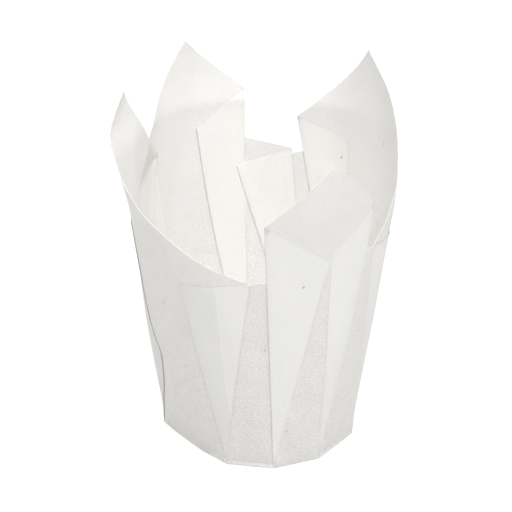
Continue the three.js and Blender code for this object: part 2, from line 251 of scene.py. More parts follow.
@dataclass(frozen=True)
class Greaseproof:
    """Translucent white greaseproof paper, cloudy where single and lighter where folded over."""

    single: tuple[float, ...] = (0.817, 0.812, 0.801, 1.0)
    folded: tuple[float, ...] = (0.872, 0.865, 0.844, 1.0)
    through: tuple[float, ...] = (0.94, 0.932, 0.91, 1.0)
    fleck: tuple[float, ...] = (0.30, 0.22, 0.13, 1.0)
    clouds: float = 0.47
    clouds_folded: float = 0.11
    glow: float = 0.46
    glow_folded: float = 0.17
    fibre_cells: float = 1900.0
    blotch_cells: float = 240.0
    drift_cells: float = 34.0
    grain_cells: float = 2600.0
    crumple_cells: float = 150.0
    fleck_cells: float = 62.0
    brown_line_colour: tuple[float, ...] = (0.5, 0.4, 0.25, 1.0)
    relief: float = 0.00012

    def material(self) -> bpy.types.Material:
        """The paper's material.

        The tone steps where the hidden layers end, which the attributes cover and cover_more give
        in millimetres inside those layers' outline. Clouds of fibre follow the flat sheet, and
        they are strongest low on the wall. Painted shade darkens a line along the hidden layers'
        outline, a painted highlight lightens a line along each soft crease, and painted shade
        darkens the folded paper on one side of a crease.

        Returns:
            The material.
        """
        g = Graph("greaseproof_paper")
        flat = g.attribute("flat", "Vector")
        cover = g.attribute("cover")
        more = g.attribute("cover_more")
        layers = cover.step(-0.14, 0.14)
        deeper = more.step(-0.14, 0.14)
        fine = g.noise(flat, self.fibre_cells, 3.0, 0.6)
        cloud = fine * 1.7 + g.noise(flat, self.blotch_cells) * 0.25
        drift = g.noise(flat, self.drift_cells, 1.0)
        speckle = 1.25 - g.attribute("rise").step(0.15, 0.75) * 0.75
        amount = (self.clouds + layers * (self.clouds_folded - self.clouds)) * speckle
        tone = 1.0 + cloud * amount + drift * 0.03 + deeper * 0.03
        # Painted shade: a darker line along the outline of the hidden layers, as if seen through
        # the paper.
        hidden_edge_shade = 1.0 - abs(cover).step(0.05, 0.38)
        crease = g.attribute("crease")
        # Painted highlight: a lighter line along each soft crease; the same line also raises a
        # small ridge in the bump below.
        crease_ridge_and_highlight = 1.0 - abs(crease).step(0.05, 0.42)
        # Painted shade: folded paper on one side of a crease, up to about 9 mm from it, is made
        # darker.
        painted_crease_shade = layers * crease.step(-10.0, -9.0) * (1.0 - crease.step(-0.15, 0.2))
        tone = tone - hidden_edge_shade * 0.045 + crease_ridge_and_highlight * 0.035 - painted_crease_shade * 0.032
        paper = g.scaled(g.mix(layers, self.single, self.folded), tone)
        cells = g.node(
            "ShaderNodeTexVoronoi",
            {"voronoi_dimensions": "2D", "feature": "F1"},
            {"Vector": flat, "Scale": self.fleck_cells},
        )
        kept = g.out(g.node("ShaderNodeSeparateColor", {}, {0: cells.outputs["Color"]}), 0)
        spot = (1.0 - g.out(cells, "Distance").step(0.012, 0.026)) * kept.above(0.62)
        colour = g.mix(spot * 0.62, paper, self.fleck)
        # A brown tint along a line low on the dog-eared fold.
        colour = g.mix(g.attribute("brown_fold_line") * 0.3, colour, self.brown_line_colour)
        grain = fine * 0.6 + g.noise(flat, self.grain_cells, 2.0, 0.6) + crease_ridge_and_highlight * 0.5
        crumple = g.noise(flat, self.crumple_cells, 3.0, 0.55) * g.attribute("crumple")
        bump = g.node(
            "ShaderNodeBump",
            {},
            {"Strength": 0.35, "Distance": self.relief, "Height": grain + crumple * 5.0},
        )
        front = g.node(
            "ShaderNodeBsdfPrincipled",
            {},
            {
                "Base Color": colour,
                "Roughness": 0.62 + layers * 0.05 + fine * 0.12,
                "Specular IOR Level": 0.3,
                "Normal": bump.outputs[0],
            },
        )
        behind = g.node("ShaderNodeBsdfTranslucent", {}, {"Color": self.through})
        share = self.glow + layers * (self.glow_folded - self.glow)
        share = share * (1.0 - cloud * amount)
        both = g.node(
            "ShaderNodeMixShader", {}, {0: share, 1: front.outputs[0], 2: behind.outputs[0]}
        )
        return g.finish(both.outputs[0])


@dataclass(frozen=True)
class CutEdge:
    """The sheet's cut edge, where the paper is fibrous and palest."""

    colour: tuple[float, ...] = (0.93, 0.925, 0.905, 1.0)

    def material(self) -> bpy.types.Material:
        """The cut edge's material."""
        g = Graph("paper_cut_edge")
        fibres = g.noise(g.attribute("flat", "Vector"), 1800, 2.0, 0.6)
        lint = g.node("ShaderNodeRGB", {}, {})
        lint.outputs[0].default_value = self.colour
        body = g.node(
            "ShaderNodeBsdfPrincipled",
            {},
            {"Base Color": g.scaled(lint.outputs[0], 1.0 + fibres * 0.12), "Roughness": 0.85},
        )
        return g.finish(body.outputs[0])


# The flat sheet and the pressed wall


@dataclass(frozen=True)
class FlatSquare:
    """The square sheet before pressing, laid on the base's plane."""

    side: float = 171.0
    turn: float = SHEET_TURN
    shift: tuple[float, float] = (0.7, 5.6)

    def corner(self, k: int) -> Array:
        """One corner of the square, in order from the front."""
        return np.array(self.shift) + ray((self.turn + 90 * k) * RAD) * self.side / math.sqrt(2)

    def leave(self, start: Array, direction: Array) -> tuple[Array, int]:
        """Where a fold runs off the sheet.

        Args:
            start: point on the sheet that the fold starts from.
            direction: the fold's direction.

        Returns:
            The point on the sheet's edge, and which of its four sides that is.
        """
        best, found = math.inf, 0
        for side in range(4):
            normal = ray((self.turn + 45 + 90 * side) * RAD)
            towards = float(direction @ normal)
            if towards > 1e-9:
                t = (self.side / 2 + float(normal @ (np.array(self.shift) - start))) / towards
                if t < best:
                    best, found = t, side
        return start + direction * best, found


@dataclass(frozen=True)
class FootCorner:
    """A corner of the many-sided foot: its direction and its distance from the middle."""

    at: float
    reach: float


class Outside(Enum):
    """Which of a pleat's two panels lies outside."""

    EARLIER = 1
    LATER = -1


@dataclass(frozen=True)
class PleatSpec:
    """Foot corner, lean of the outer fold, the outside panel and the inner fold's set-back."""

    at: float
    reach: float
    lean: float
    outside: Outside
    tuck: float = 0.0


@dataclass(frozen=True)
class Petal:
    """A standing corner: its flare and curl, where each starts, extra bow and half angle."""

    flare: float
    flare_from: float
    curl: float
    curl_from: float
    bow: float = 0.0
    half: float = 50.0


@dataclass(frozen=True)
class Crease:
    """A soft crease: its directions at both ends, the heights it runs between and its bend."""

    low_at: float
    high_at: float
    start: float
    stop: float
    bend: int = 1


PLEATS = (
    PleatSpec(-51, 25.4, 7.7, Outside.EARLIER, 0.9),
    PleatSpec(-11, 25.8, 8.6, Outside.EARLIER),
    PleatSpec(40.5, 24.9, -5.2, Outside.LATER),
    PleatSpec(61.5, 26, -5.1, Outside.LATER),
    PleatSpec(95, 25.9, 2.6, Outside.LATER),
    PleatSpec(121.5, 26.2, 30, Outside.EARLIER),
    PleatSpec(174.5, 25.7, 13.3, Outside.EARLIER),
    PleatSpec(250, 24.1, 9.1, Outside.LATER),
    PleatSpec(279, 25.6, 7, Outside.LATER, 0.9),
)
SOFT_CORNERS = (
    FootCorner(148, 25.6),
    FootCorner(188, 22.65),
    FootCorner(225, 21.05),
    FootCorner(68, 25.9),
    FootCorner(14, 25.6),
)
PETALS = (
    Petal(0.02, 45, -0.145, 74),
    Petal(0.1115, 41.4, -0.293, 58.6, -1.79, 64.3),
    Petal(0.022, 45, -0.218, 74),
    Petal(0.08, 45, -1.45, 84),
)
# These creases are not in the wall's shape: the paper's material draws each as a painted highlight,
# with painted shade on one side and a small bump ridge.
CREASES = (
    Crease(-101, -105.4, 2, 58, 4),
    Crease(68, 66, 8, 60),
    Crease(14, 9, 2, 40),
)


@dataclass(frozen=True)
class Wall:
    """The shape that the paper is pressed to, as a radius for each direction and height."""

    base_radius: float = 24.2
    lean: float = 11.6
    rounding_height: float = 22.0
    softening: float = 10.0
    softening_height: float = 8.0
    oval: float = -0.062
    sway: tuple[float, float] = (0.016, -0.004)
    belly: tuple[float, float, float] = (1.6, 0.3, 1.3)
    bow_height: float = 60.0
    bow_end: float = 1.33
    ripple: float = 0.16

    @cached_property
    def apex(self) -> float:
        """Slant distance from the foot down to the cone's apex."""
        return self.base_radius / math.sin(self.lean * RAD)

    @cached_property
    def outline(self) -> tuple[Array, Array]:
        """Directions in radians and reaches of all corners of the foot, with one turn repeated."""
        corners = sorted([*PLEATS, *SOFT_CORNERS], key=lambda c: c.at % 360)
        at = np.array([c.at % 360 for c in corners]) * RAD
        reach = np.array([c.reach for c in corners], float)
        at = np.concatenate([[at[-1] - 2 * np.pi], at, [at[0] + 2 * np.pi]])
        return at, np.concatenate([[reach[-1]], reach, [reach[0]]])

    def foot(self, az: Array) -> Array:
        """Radius of the many-sided foot.

        On the straight side between corners a and b, a turn t past a in a span s, the radius is
        sin s over the sum of sin(s - t) / reach a and sin t / reach b.

        Args:
            az: directions in radians.

        Returns:
            Radii in millimetres.
        """
        at, reach = self.outline
        way = np.mod(az, 2 * np.pi)
        k = np.clip(np.searchsorted(at, way, side="right") - 1, 0, len(at) - 2)
        turn, span = way - at[k], at[k + 1] - at[k]
        return np.sin(span) / (np.sin(span - turn) / reach[k] + np.sin(turn) / reach[k + 1])

    def radius(self, az: Array, z: Array) -> Array:
        """Radius of the wall.

        The foot's outline, averaged over a widening arc, turns round with height as one less the
        falling exponential. The lean, an oval, a sway to one side, a parabolic arch and the petals'
        own flare, curl and arch are added. A flare or curl is the square of the height above its
        start, over the base radius. The ripple is three slow waves that grow with height.

        Args:
            az: directions in radians.
            z: heights in millimetres.

        Returns:
            Radii in millimetres.
        """
        az, z = np.broadcast_arrays(np.asarray(az, float), np.asarray(z, float))
        spread = self.softening * RAD * clamp01(z / self.softening_height)
        soft = sum(self.foot(az + spread * k / 2) for k in range(-2, 3)) / 5
        rise = clamp01(z / (self.bow_height * self.bow_end)) * self.bow_end
        arch = 4 * rise * (1 - rise)
        cos, sin = np.cos(az), np.sin(az)
        r = lerp(soft, self.base_radius, 1 - np.exp(-z / self.rounding_height))
        r = r + z * math.tan(self.lean * RAD)
        r += z * (self.oval * np.cos(2 * az) + self.sway[0] * cos + self.sway[1] * sin)
        r += arch * (self.belly[0] + self.belly[1] * cos + self.belly[2] * sin)
        for k, petal in enumerate(PETALS):
            away = turn_to(az - (SHEET_TURN + 90 * k) * RAD, 0) / RAD
            flare = petal.flare * np.maximum(z - petal.flare_from, 0) ** 2 / self.base_radius
            curl = petal.curl * np.maximum(z - petal.curl_from, 0) ** 2 / self.base_radius
            r += (flare + arch * petal.bow + curl) * bell(away / petal.half)
        waves = np.sin(7 * az + z / 19) + 0.7 * np.sin(11 * az - z / 13 + 1.9)
        waves += 0.5 * np.sin(17 * az + z / 7.5 + 0.6)
        return r + self.ripple * waves * clamp01(z / 35)


@dataclass(frozen=True)
class Panel:
    """One flat side of the foot and the cone that the paper above it is rolled to."""

    start: Array
    end: Array
    at: tuple[float, float]
    apex_slant: float
    sin_lean: float

    @cached_property
    def along(self) -> Array:
        """Unit vector from the first foot corner to the second."""
        return (self.end - self.start) / np.linalg.norm(self.end - self.start)

    @cached_property
    def out(self) -> Array:
        """Unit vector square to the side, away from the middle."""
        return np.array([self.along[1], -self.along[0]])

    @cached_property
    def distance(self) -> float:
        """How far the side is from the middle."""
        return float(self.start @ self.out)

    @cached_property
    def facing(self) -> float:
        """Direction the side faces, in radians."""
        return math.atan2(self.out[1], self.out[0])

    @cached_property
    def apex(self) -> Array:
        """The cone's apex, laid flat."""
        return self.out * (self.distance - self.apex_slant)

    def _stretch(self, corner: Array, at: float) -> float:
        """Turn on the wall for each radian that the flat cone gives, up to a foot corner."""
        flat = math.atan2(float(corner @ self.along), self.apex_slant) / self.sin_lean
        return float(turn_to(at * RAD - self.facing, 0)) / flat

    def on_wall(self, point: Array) -> tuple[Array, Array]:
        """Rolls points of the flat sheet onto the wall.

        With u along the side and s beyond it, the slant is the distance from the flat apex less the
        apex slant, and the turn is the angle there over the sine of the lean.

        Args:
            point: flat places, with two numbers in the last axis.

        Returns:
            Directions in radians and heights in millimetres.
        """
        u = point @ self.along
        s = point @ self.out - self.distance
        slant = np.hypot(u, self.apex_slant + s) - self.apex_slant
        before = self._stretch(self.start, self.at[0])
        after = self._stretch(self.end, self.at[1])
        swing = np.arctan2(u, self.apex_slant + s) / self.sin_lean
        az = self.facing + np.where(u < 0, before, after) * swing
        return az, np.maximum(slant, 0) * math.sqrt(1 - self.sin_lean**2)


@dataclass
class Pleat:
    """One knife pleat: its two folds on the flat sheet and on the wall."""

    index: int
    corner: Array
    outer_panel: int
    inner_panel: int
    side: int
    outer_end: Array
    inner_end: Array
    outer_side: int
    inner_side: int
    outer_trace: tuple[Array, Array] = field(default=(), repr=False)
    inner_trace: tuple[Array, Array] = field(default=(), repr=False)

    @staticmethod
    def read(trace: tuple[Array, Array], z: Array) -> Array:
        """Direction of a fold at a height, carried on straight past its end."""
        az, height = trace
        k = np.clip(np.searchsorted(height, z, side="left"), 1, len(height) - 1)
        share = np.maximum(0, (z - height[k - 1]) / (height[k] - height[k - 1]))
        return lerp(az[k - 1], az[k], share)


# The folded sheet


@dataclass
class FoldedSheet:
    """The whole cup: one sheet with a flat base, nine pleats and four petals."""

    wall: Wall = field(default_factory=Wall)
    square: FlatSquare = field(default_factory=FlatSquare)
    paper: float = 0.06
    base_corner: float = 0.4
    corner_lift: float = 0.14
    layer_step: tuple[float, float] = (0.10, 0.15)
    fold_in_height: float = 1.8
    ease_start: float = 6.0
    ease: float = 9.0
    spare: float = 0.03
    ear_pleat: int = 6
    ear_height: float = 28.0
    ear_reach: float = 13.0
    ear_margin: float = 31.0
    low_height: float = 6.0
    low_rows: int = 21
    high_rows: int = 46
    row_crowding: float = 1.3
    column_angle: float = 2.0
    flap_angle: float = 2.4
    fold_steps: int = 6

    def __post_init__(self) -> None:
        """Sets out the panels and the pleats on the flat sheet."""
        count = len(PLEATS)
        self.corners = [ray(p.at * RAD) * p.reach for p in PLEATS]
        sin_lean = math.sin(self.wall.lean * RAD)
        self.panels = [
            Panel(
                self.corners[i],
                self.corners[(i + 1) % count],
                (PLEATS[i].at, PLEATS[(i + 1) % count].at),
                self.wall.apex,
                sin_lean,
            )
            for i in range(count)
        ]
        self.pleats = [self._pleat(i) for i in range(count)]
        for pleat in self.pleats:
            pleat.outer_trace = self._trace(pleat, outer=True)
            pleat.inner_trace = self._trace(pleat, outer=False)

    def _pleat(self, i: int) -> Pleat:
        """Both folds of a pleat on the flat sheet.

        The wedge between them is half the angle at the foot corner between the two panels' flat
        apexes, which is what lets the panels meet on the cone.

        Args:
            i: the pleat's place in order round the cup.

        Returns:
            The pleat, without its traces.
        """
        spec = PLEATS[i]
        side = spec.outside.value
        earlier = (i - 1) % len(PLEATS)
        outer, inner = (earlier, i) if side > 0 else (i, earlier)
        a = self.panels[outer].apex - self.corners[i]
        b = self.panels[inner].apex - self.corners[i]
        wedge = abs(math.atan2(a[0] * b[1] - a[1] * b[0], float(a @ b))) / 2
        outer_turn = self.panels[outer].facing + side * spec.lean * RAD
        inner_turn = outer_turn + side * (wedge + spec.tuck * RAD)
        outer_end, outer_side = self.square.leave(self.corners[i], ray(outer_turn))
        inner_end, inner_side = self.square.leave(self.corners[i], ray(inner_turn))
        return Pleat(
            i, self.corners[i], outer, inner, side, outer_end, inner_end, outer_side, inner_side
        )

    def ear_shift(self, z: Array) -> Array:
        """Sideways reach of the dog-eared fold: an S-shaped rise, then a parabola back to none."""
        up = smooth(z / self.ear_height)
        down = 1 - clamp01((z - self.ear_height) / (1.3 * self.ear_height))
        return self.ear_reach * np.where(z < self.ear_height, up, down * down)

    def _trace(self, pleat: Pleat, outer: bool) -> tuple[Array, Array]:
        """A fold as direction against height, in even steps of its length."""
        panel = self.panels[pleat.outer_panel if outer else pleat.inner_panel]
        end = pleat.outer_end if outer else pleat.inner_end
        share = np.linspace(0, 1, 61)[:, None]
        az, z = panel.on_wall(lerp(pleat.corner, end, share))
        if outer and pleat.index == self.ear_pleat:
            az = az + self.ear_shift(z) / self.wall.radius(az, z)
        return az, z

    def step_at(self, z: Array) -> Array:
        """Distance between layers that lie on each other."""
        return lerp(self.layer_step[0], self.layer_step[1], clamp01(z / 90))

    def fold_turn(self, z: Array) -> Array:
        """How far a pleat is folded over: from none at the foot to half a turn."""
        return np.pi * smooth(z / self.fold_in_height)

    def flap_width(self, pleat: Pleat, z: Array) -> Array:
        """Distance along the wall between a pleat's two folds."""
        a = Pleat.read(pleat.outer_trace, z)
        b = Pleat.read(pleat.inner_trace, z)
        return np.abs(turn_to(a - b, 0)) * self.wall.radius(a, z)

    def pleat_depth(self, pleat: Pleat, z: Array) -> Array:
        """How far a pleat's inner panel lies inside its outer panel."""
        turn = self.fold_turn(z)
        shut = (self.step_at(z) + self.spare / 2) * (1 - np.cos(turn))
        return shut + self.flap_width(pleat, z) * np.sin(turn)

    def panel_depth(self, index: int, az: Array, z: Array) -> Array:
        """How far inside the wall a panel lies.

        Under a fold it is the outer panel's own depth and the pleat's, and past the fold it comes
        back to the wall along an S-shaped step.

        Args:
            index: the panel.
            az: directions in radians.
            z: heights in millimetres.

        Returns:
            Depths in millimetres.
        """
        depth = np.zeros(np.broadcast(az, z).shape)
        for pleat in self.pleats:
            if pleat.inner_panel == index:
                fold = Pleat.read(pleat.outer_trace, z)
                past = pleat.side * turn_to(az - fold, 0) * self.wall.radius(az, z)
                under = np.where(past > 0, turn_to(fold, az), az)
                covered = self.panel_depth(pleat.outer_panel, under, z)
                covered = covered + self.pleat_depth(pleat, z)
                eased = covered * (1 - smooth((past - self.ease_start) / self.ease))
                depth = np.maximum(depth, eased)
        return depth

    def open_half(self, pleat: Pleat, z: Array) -> Array:
        """Half the gap that a half-folded pleat needs between its two panels."""
        turn = self.fold_turn(z)
        gap = self.step_at(z) * np.sin(turn) + self.flap_width(pleat, z) * (1 + np.cos(turn))
        return gap / 2

    def _rim(self, i: int) -> list[Array]:
        """The ends and the corner, if there is one, of a panel's cut edge on the flat sheet."""
        first, last = self.pleats[i], self.pleats[(i + 1) % len(PLEATS)]
        start_in, end_in = first.inner_panel == i, last.inner_panel == i
        start = first.inner_end if start_in else first.outer_end
        end = last.inner_end if end_in else last.outer_end
        start_side = first.inner_side if start_in else first.outer_side
        end_side = last.inner_side if end_in else last.outer_side
        middle = [self.square.corner(end_side)] if start_side != end_side else []
        return [start, *middle, end]

    def _rows(self, length: Array) -> Array:
        """Distances up each column: close rows at the foot, then ones that close up to the edge."""
        low = np.linspace(0, self.low_height, self.low_rows)[None, :]
        share = np.linspace(0, 1, self.high_rows + 1)[None, 1:]
        share = 1 - (1 - share) ** self.row_crowding
        high = self.low_height + (length[:, None] - self.low_height) * share
        return np.concatenate([np.repeat(low, len(length), 0), high], 1)

    def panel_grid(self, i: int) -> dict[str, Array]:
        """One panel as a grid on the wall, columns by rows.

        Each column is a straight line on the flat sheet from the foot's side to the cut edge.

        Args:
            i: the panel.

        Returns:
            Arrays of direction az, height z, depth and flat place, and the columns' foot shares.
        """
        count = len(PLEATS)
        last = (i + 1) % count
        panel, rim = self.panels[i], self._rim(i)
        lengths = np.array([np.linalg.norm(b - a) for a, b in zip(rim, rim[1:])])
        span = turn_to((PLEATS[last].at - PLEATS[i].at) * RAD, math.pi) / RAD
        ends = [panel.on_wall(p)[0] for p in (rim[0], rim[-1])]
        span = max(float(span), abs(float(ends[1] - ends[0])) / RAD)
        span += self.ear_margin if last == self.ear_pleat else 0
        foot, top, share, done = [], [], [], 0.0
        for part, length in enumerate(lengths):
            steps = max(4, round(span * length / lengths.sum() / self.column_angle))
            k = np.arange(1 if part else 0, steps + 1)[:, None] / steps
            f = (done + length * k) / lengths.sum()
            foot.append(lerp(self.corners[i], self.corners[last], f))
            top.append(lerp(rim[part], rim[part + 1], k))
            share.append(f[:, 0])
            done += length
        foot, top, f = np.concatenate(foot), np.concatenate(top), np.concatenate(share)[:, None]
        height = np.linalg.norm(top - foot, axis=1)
        up = self._rows(height) / height[:, None]
        flat = foot[:, None] + (top - foot)[:, None] * up[..., None]
        az, z = panel.on_wall(flat)
        r = self.wall.radius(az, z)
        opened = lerp(self.open_half(self.pleats[i], z), -self.open_half(self.pleats[last], z), f)
        az = az + opened / r
        if last == self.ear_pleat:
            az = az + self.ear_shift(z) / r * smooth((f - 0.35) / 0.65)
        return {"az": az, "z": z, "depth": self.panel_depth(i, az, z), "flat": flat, "f": f[:, 0]}

    def _pleat_section(self, step: Array, turn: Array, width: Array, steps: int) -> Array:
        """A pleat seen from above: a bend in, the flap and a bend back.

        The bends are arcs of half the layer step, and the flap is straight.

        Args:
            step: distance between layers, row by row.
            turn: how far the pleat is folded over.
            width: the flap's width.
            steps: columns on the flap.

        Returns:
            Places along the wall, shares of the full depth and the end's place, points by rows.
        """
        radius = step / 2
        sin, cos = np.sin(turn), np.cos(turn)
        t = turn * (np.arange(1, self.fold_steps + 1) / self.fold_steps)[:, None]
        bend = np.stack([radius * np.sin(t), radius * (1 - np.cos(t))])
        d = width * (np.arange(1, steps + 1) / steps)[:, None]
        flap = bend[:, -1:] + np.stack([d * cos, d * sin])
        back = turn - t[:-1]
        close = np.stack([radius * (sin - np.sin(back)), radius * (np.cos(back) - cos)])
        close = flap[:, -1:] + close
        x, y = np.concatenate([bend, flap, close], 1)
        end_x = flap[0, -1] + radius * sin
        end_y = flap[1, -1] + radius * (1 - cos)
        share = np.where(end_y > 1e-6, y / np.maximum(end_y, 1e-6), 0)
        return np.stack([x, share, np.broadcast_to(end_x, x.shape)])

    def pleat_grid(self, pleat: Pleat, before: dict, after: dict) -> dict[str, Array]:
        """The columns between two panels: a pleat's folds and its flap.

        Args:
            pleat: the pleat.
            before: last column of the earlier panel.
            after: first column of the later panel.

        Returns:
            Arrays of direction az, height z, depth and flat place, columns by rows.
        """
        top = abs(float(turn_to(before["az"][-1] - after["az"][-1], 0))) / RAD
        steps = max(3, round(top / self.flap_angle))
        a, b = (before, after) if pleat.side > 0 else (after, before)
        z = (a["z"] + b["z"]) / 2
        r = self.wall.radius(a["az"], z)
        turn = self.fold_turn(z)
        gap = pleat.side * turn_to(b["az"] - a["az"], 0) * r
        bend = self.step_at(z) * np.sin(turn)
        shut = turn > 0.75 * np.pi
        flat_width = (gap - bend) / np.where(shut, np.cos(turn), 1)
        width = np.where(shut, flat_width, self.flap_width(pleat, z))
        section = self._pleat_section(self.step_at(z), turn, np.maximum(width, 0), steps)
        x, share, end = section
        k = np.arange(len(x))[:, None]
        along = x + (gap - end[0]) * (k + 1) / (len(x) + 1)
        across = clamp01((k - self.fold_steps + 1) / steps)
        zf = lerp(a["z"], b["z"], across)
        az = a["az"] + pleat.side * along / r
        outside = self.panel_depth(pleat.outer_panel, az, zf)
        inside = outside + self.pleat_depth(pleat, zf)
        low = smooth((self.fold_in_height * 1.4 - zf) / (self.fold_in_height * 0.4))
        depth = lerp(lerp(outside, inside, share), lerp(a["depth"], b["depth"], share), low)
        flat = lerp(a["flat"][None], b["flat"][None], across[..., None])
        grid = {"az": az, "z": zf, "depth": depth, "flat": flat}
        return grid if pleat.side > 0 else {key: value[::-1] for key, value in grid.items()}

    def place(self, az: Array, z: Array, depth: Array) -> Array:
        """Points of the middle surface in space, lifted by an exponential at the rounded foot."""
        lift = self.corner_lift * np.exp(-z / 1.5)
        r = self.wall.radius(az, z) - depth
        return np.stack([r * np.cos(az), r * np.sin(az), self.paper / 2 + z + lift], -1)

    def columns(self) -> tuple[dict[str, Array], Array, Array]:
        """All columns round the cup.

        Returns:
            The joined grids, a label for each column's foot, and the feet's directions. Columns of
            one pleat share a label.
        """
        count = len(PLEATS)
        grids = [self.panel_grid(i) for i in range(count)]
        parts, labels, feet = [], [], []
        fresh = count
        for i, grid in enumerate(grids):
            last = (i + 1) % count
            inner = len(grid["f"]) - 2
            labels += [i, *range(fresh, fresh + inner), last]
            feet += [PLEATS[i].at * RAD, *grid["az"][1:-1, 0], PLEATS[last].at * RAD]
            fresh += inner
            keys = ("az", "z", "depth", "flat")
            parts.append({key: grid[key] for key in keys})
            before = {key: grid[key][-1] for key in keys}
            after = {key: grids[last][key][0] for key in keys}
            parts.append(self.pleat_grid(self.pleats[last], before, after))
            labels += [last] * len(parts[-1]["az"])
            feet += [PLEATS[last].at * RAD] * len(parts[-1]["az"])
        joined = {key: np.concatenate([p[key] for p in parts]) for key in parts[0]}
        return joined, np.array(labels), np.array(feet)

    def cover(self, az: Array, z: Array) -> tuple[Array, Array]:
        """How far inside the outline of hidden layers each place is.

        For each pleat it is the least of three distances: to the outer fold, to the inner fold and
        to the flap's cut edge, a straight line in direction and height.

        Args:
            az: directions in radians.
            z: heights in millimetres.

        Returns:
            The largest and the next largest over all pleats, within 5 mm either way.
        """
        r = self.wall.radius(az, z)
        found = []
        for pleat in self.pleats:
            outer = turn_to(Pleat.read(pleat.outer_trace, z), az)
            inner = turn_to(Pleat.read(pleat.inner_trace, z), az)
            from_outer = pleat.side * (outer - az) * r
            from_inner = pleat.side * (az - inner) * r
            top = (pleat.outer_trace[0][-1], pleat.outer_trace[1][-1])
            low = (pleat.inner_trace[0][-1], pleat.inner_trace[1][-1])
            share = turn_to(az - top[0], 0) / turn_to(low[0] - top[0], 0)
            below = lerp(top[1], low[1], clamp01(share)) - z
            found.append(np.minimum(np.minimum(from_outer, from_inner), below))
        ranked = np.sort(np.clip(np.stack(found), -5, 5), axis=0)
        return ranked[-1], ranked[-2]

    def crease(self, az: Array, z: Array) -> Array:
        """Signed distance along the wall to the nearest soft crease, in millimetres.

        Args:
            az: directions in radians.
            z: heights in millimetres.

        Returns:
            Distances, and 10 mm where no crease is nearer than that.
        """
        r = self.wall.radius(az, z)
        found = np.full(r.shape, 10.0)
        for c in CREASES:
            along = clamp01((z - c.start) / (c.stop - c.start))
            line = lerp(c.low_at, c.high_at, 1 - (1 - along) ** c.bend) * RAD
            away = turn_to(az - line, 0) * r
            nearer = (z > c.start) & (z < c.stop) & (np.abs(away) < np.abs(found))
            found = np.where(nearer, away, found)
        return found

    def brown_fold_line(self, az: Array, z: Array) -> Array:
        """Strength of the brown tint along a line low on the dog-eared fold: a narrow bell across
        it.
        """
        pleat = self.pleats[self.ear_pleat]
        away = turn_to(az - Pleat.read(pleat.outer_trace, z), 0) * self.wall.radius(az, z)
        return np.exp(-((away / 0.35) ** 2)) * smooth((z - 6) / 4) * smooth((32 - z) / 6)

    def middle(self) -> tuple[Array, Array, Array, dict[str, Array]]:
        """The sheet's middle surface.

        Returns:
            Points in millimetres, triangles facing out and down, the cut edge's points in order,
            and the attributes of each point.
        """
        grid, labels, feet = self.columns()
        unique, first = np.unique(labels, return_index=True)
        foot_at = feet[first]
        lookup = np.searchsorted(unique, labels)
        rows = grid["az"].shape[1]
        rings = ((1.6, 0.0), (1.0, 0.0), (0.32, 0.25))
        points, flats, az_all, z_all = [], [], [], []
        base = 0
        ids = []
        for inset, lift in rings:
            r = self.wall.foot(foot_at) - inset * self.base_corner
            height = self.paper / 2 + lift * self.corner_lift
            ring = np.stack([r * np.cos(foot_at), r * np.sin(foot_at), np.full_like(r, height)], 1)
            points.append(ring)
            flats.append(ring[:, :2])
            az_all.append(foot_at)
            z_all.append(np.zeros_like(r))
            ids.append(base + lookup)
            base += len(ring)
        points.append(self.place(foot_at, np.zeros_like(foot_at), np.zeros_like(foot_at)))
        flats.append(points[-1][:, :2])
        az_all.append(foot_at)
        z_all.append(np.zeros_like(foot_at))
        ids.append(base + lookup)
        base += len(foot_at)
        body = self.place(grid["az"][:, 1:], grid["z"][:, 1:], grid["depth"][:, 1:])
        points.append(body.reshape(-1, 3))
        flats.append(grid["flat"][:, 1:].reshape(-1, 2))
        az_all.append(grid["az"][:, 1:].ravel())
        z_all.append(grid["z"][:, 1:].ravel())
        cells = base + np.arange(body.shape[0] * (rows - 1)).reshape(-1, rows - 1)
        stack = np.concatenate([np.stack(ids, 1), cells], 1)
        centre = base + cells.size
        points.append(np.array([[0, 0, self.paper / 2]]))
        flats.append(np.zeros((1, 2)))
        az_all.append(np.zeros(1))
        z_all.append(np.zeros(1))
        points = np.concatenate(points)
        triangles = self._fill(points, stack, centre)
        az, z = np.concatenate(az_all), np.concatenate(z_all)
        cover, more = self.cover(az, z)
        attributes = {
            "flat": np.concatenate([np.concatenate(flats) * MM, np.zeros((len(points), 1))], 1),
            "cover": np.where(z > 0.5, cover, -5),
            "cover_more": np.where(z > 0.5, more, -5),
            "crease": self.crease(az, z),
            "crumple": np.exp(-z / 9.0),
            "rise": z / 100,
            "brown_fold_line": self.brown_fold_line(az, z),
        }
        return points, triangles, stack[:, -1], attributes

    @staticmethod
    def _fill(points: Array, stack: Array, centre: int) -> Array:
        """Triangles between neighbouring columns, over the shorter diagonal.

        Args:
            points: all points.
            stack: point numbers, columns by rows from the base's ring up.
            centre: the middle point of the base.

        Returns:
            Triangles, without the collapsed ones.
        """
        here, there = stack, np.roll(stack, -1, axis=0)
        a, b = here[:, :-1].ravel(), there[:, :-1].ravel()
        d, c = here[:, 1:].ravel(), there[:, 1:].ravel()
        ac = np.linalg.norm(points[a] - points[c], axis=1)
        bd = np.linalg.norm(points[b] - points[d], axis=1)
        first = np.where((ac <= bd)[:, None], np.stack([a, b, c], 1), np.stack([a, b, d], 1))
        second = np.where((ac <= bd)[:, None], np.stack([a, c, d], 1), np.stack([b, c, d], 1))
        fan = np.stack([there[:, 0], here[:, 0], np.full(len(here), centre)], 1)
        faces = np.concatenate([first, second, fan])
        keep = (faces[:, 0] != faces[:, 1]) & (faces[:, 1] != faces[:, 2])
        return faces[keep & (faces[:, 0] != faces[:, 2])]

